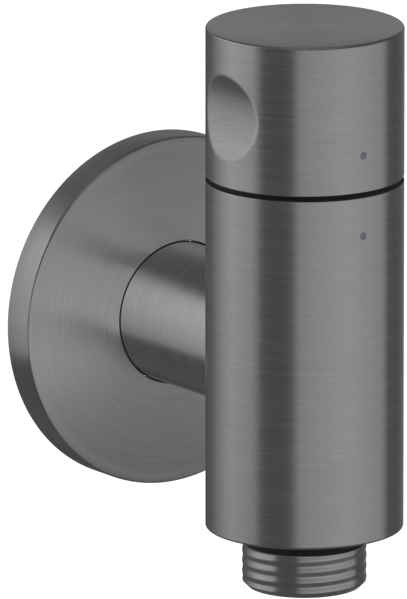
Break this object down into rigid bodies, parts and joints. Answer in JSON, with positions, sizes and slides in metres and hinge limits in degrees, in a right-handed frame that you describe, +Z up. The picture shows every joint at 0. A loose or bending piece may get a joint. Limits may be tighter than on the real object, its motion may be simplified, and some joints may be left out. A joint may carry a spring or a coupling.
{
  "type": "wall-mounted stop valve",
  "caption": "Upright cylindrical stop valve on a short wall arm with a round rosette, a turning cap handle with finger dimples and a male threaded outlet below.",
  "frame": {"origin": "on the inlet axis in the plane of the wall, where the rosette rests", "axes": "+Y into the wall along the inlet thread, +Z up along the body axis, +X to the right seen from the front"},
  "size_m": [0.06, 0.0726, 0.0963],
  "materials": {
    "graphite_pvd": "brass with a brushed graphite-coloured coating",
    "bare_brass": "turned, uncoated",
    "stainless_steel": "bright stainless",
    "alumina_white": "lapped alumina",
    "alumina_grey": "lapped alumina, grey",
    "black_rubber": "moulded sealing rubber",
    "black_plastic": "moulded acetal, black",
    "white_plastic": "moulded acetal, natural",
    "dot_enamel": "blue-grey enamel"
  },
  "bodies": {
    "valve": {"body": "graphite_pvd", "body_dot": "dot_enamel", "inlet_arm": "graphite_pvd", "inlet_seal_ring": "white_plastic", "headwork_bonnet": "bare_brass", "bonnet_o_ring": "black_rubber", "seat_seal": "black_rubber", "fixed_disc": "alumina_white", "slide_ring": "black_plastic", "check_valve_housing": "white_plastic", "check_valve_o_ring": "black_rubber", "check_spring": "stainless_steel", "outlet_nipple": "graphite_pvd", "outlet_gasket": "black_rubber"},
    "handle": {"handle": "graphite_pvd", "handle_dot": "dot_enamel", "handle_insert": "black_plastic", "insert_screw": "stainless_steel", "handle_set_screw": "stainless_steel", "spindle": "bare_brass", "spindle_o_rings": "black_rubber", "spindle_washer": "white_plastic", "spindle_circlip": "stainless_steel", "rotating_disc": "alumina_grey"},
    "check_poppet": {"check_poppet": "black_plastic", "poppet_seal": "black_rubber"},
    "rosette_carrier": {"rosette_o_ring": "black_rubber"},
    "rosette": {"rosette": "graphite_pvd"}
  },
  "joints": [
    {"name": "handle_turn", "type": "hinge", "parent": "valve", "child": "handle", "pos_m": [0, -0.044, 0], "axis": [0, 0, 1], "range_deg": [0, 90]},
    {"name": "check_valve_slide", "type": "slide", "parent": "valve", "child": "check_poppet", "axis": [0, 0, -1], "range_m": [0, 0.0025], "stiffness_N_per_m": 150, "springref_m": -0.002, "deforming": ["check_spring"]},
    {"name": "rosette_slide", "type": "slide", "parent": "valve", "child": "rosette_carrier", "axis": [0, -1, 0], "range_m": [0, 0.019]},
    {"name": "rosette_spin", "type": "hinge", "parent": "rosette_carrier", "child": "rosette", "pos_m": [0, 0, 0], "axis": [0, 1, 0], "continuous": true}
  ]
}
